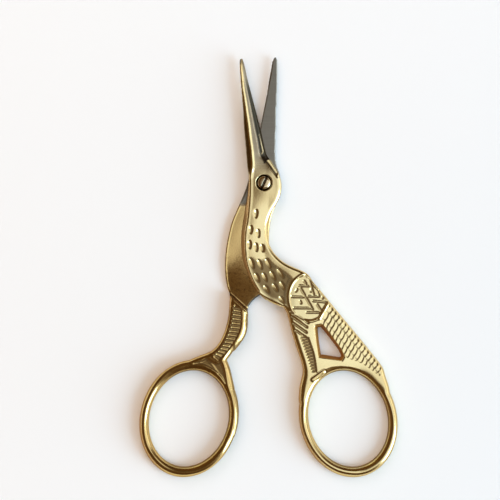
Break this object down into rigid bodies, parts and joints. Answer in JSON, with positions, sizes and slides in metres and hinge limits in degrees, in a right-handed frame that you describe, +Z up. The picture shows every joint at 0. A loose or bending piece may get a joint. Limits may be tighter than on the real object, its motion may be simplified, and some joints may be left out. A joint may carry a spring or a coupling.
{
  "type": "stork embroidery scissors",
  "caption": "Stork-shaped embroidery scissors whose bill forms the blades; the halves cross at a slotted screw and end in oval finger bows.",
  "frame": {"origin": "on the screw's axis, in the plane that the scissors lie on", "axes": "+Y from the finger bows to the blade tips, +Z up out of the face with the screw's head, +X to the right with the bird's tail"},
  "size_m": [0.0541, 0.088, 0.0037],
  "materials": {
    "front_gold": "polished gold plate over cast steel, bare ground steel on the blade",
    "back_gold": "polished gold plate over cast steel, bare ground steel on the blade",
    "screw_steel": "satin, slightly domed, slotted"
  },
  "bodies": {
    "front": {"front_half": "front_gold"},
    "back": {"back_half": "back_gold", "pivot_screw": "screw_steel"}
  },
  "joints": [
    {"name": "scissor_pivot", "type": "hinge", "parent": "front", "child": "back", "pos_m": [0, 0, 0], "axis": [0, 0, 1], "range_deg": [-74, 14.3]}
  ]
}
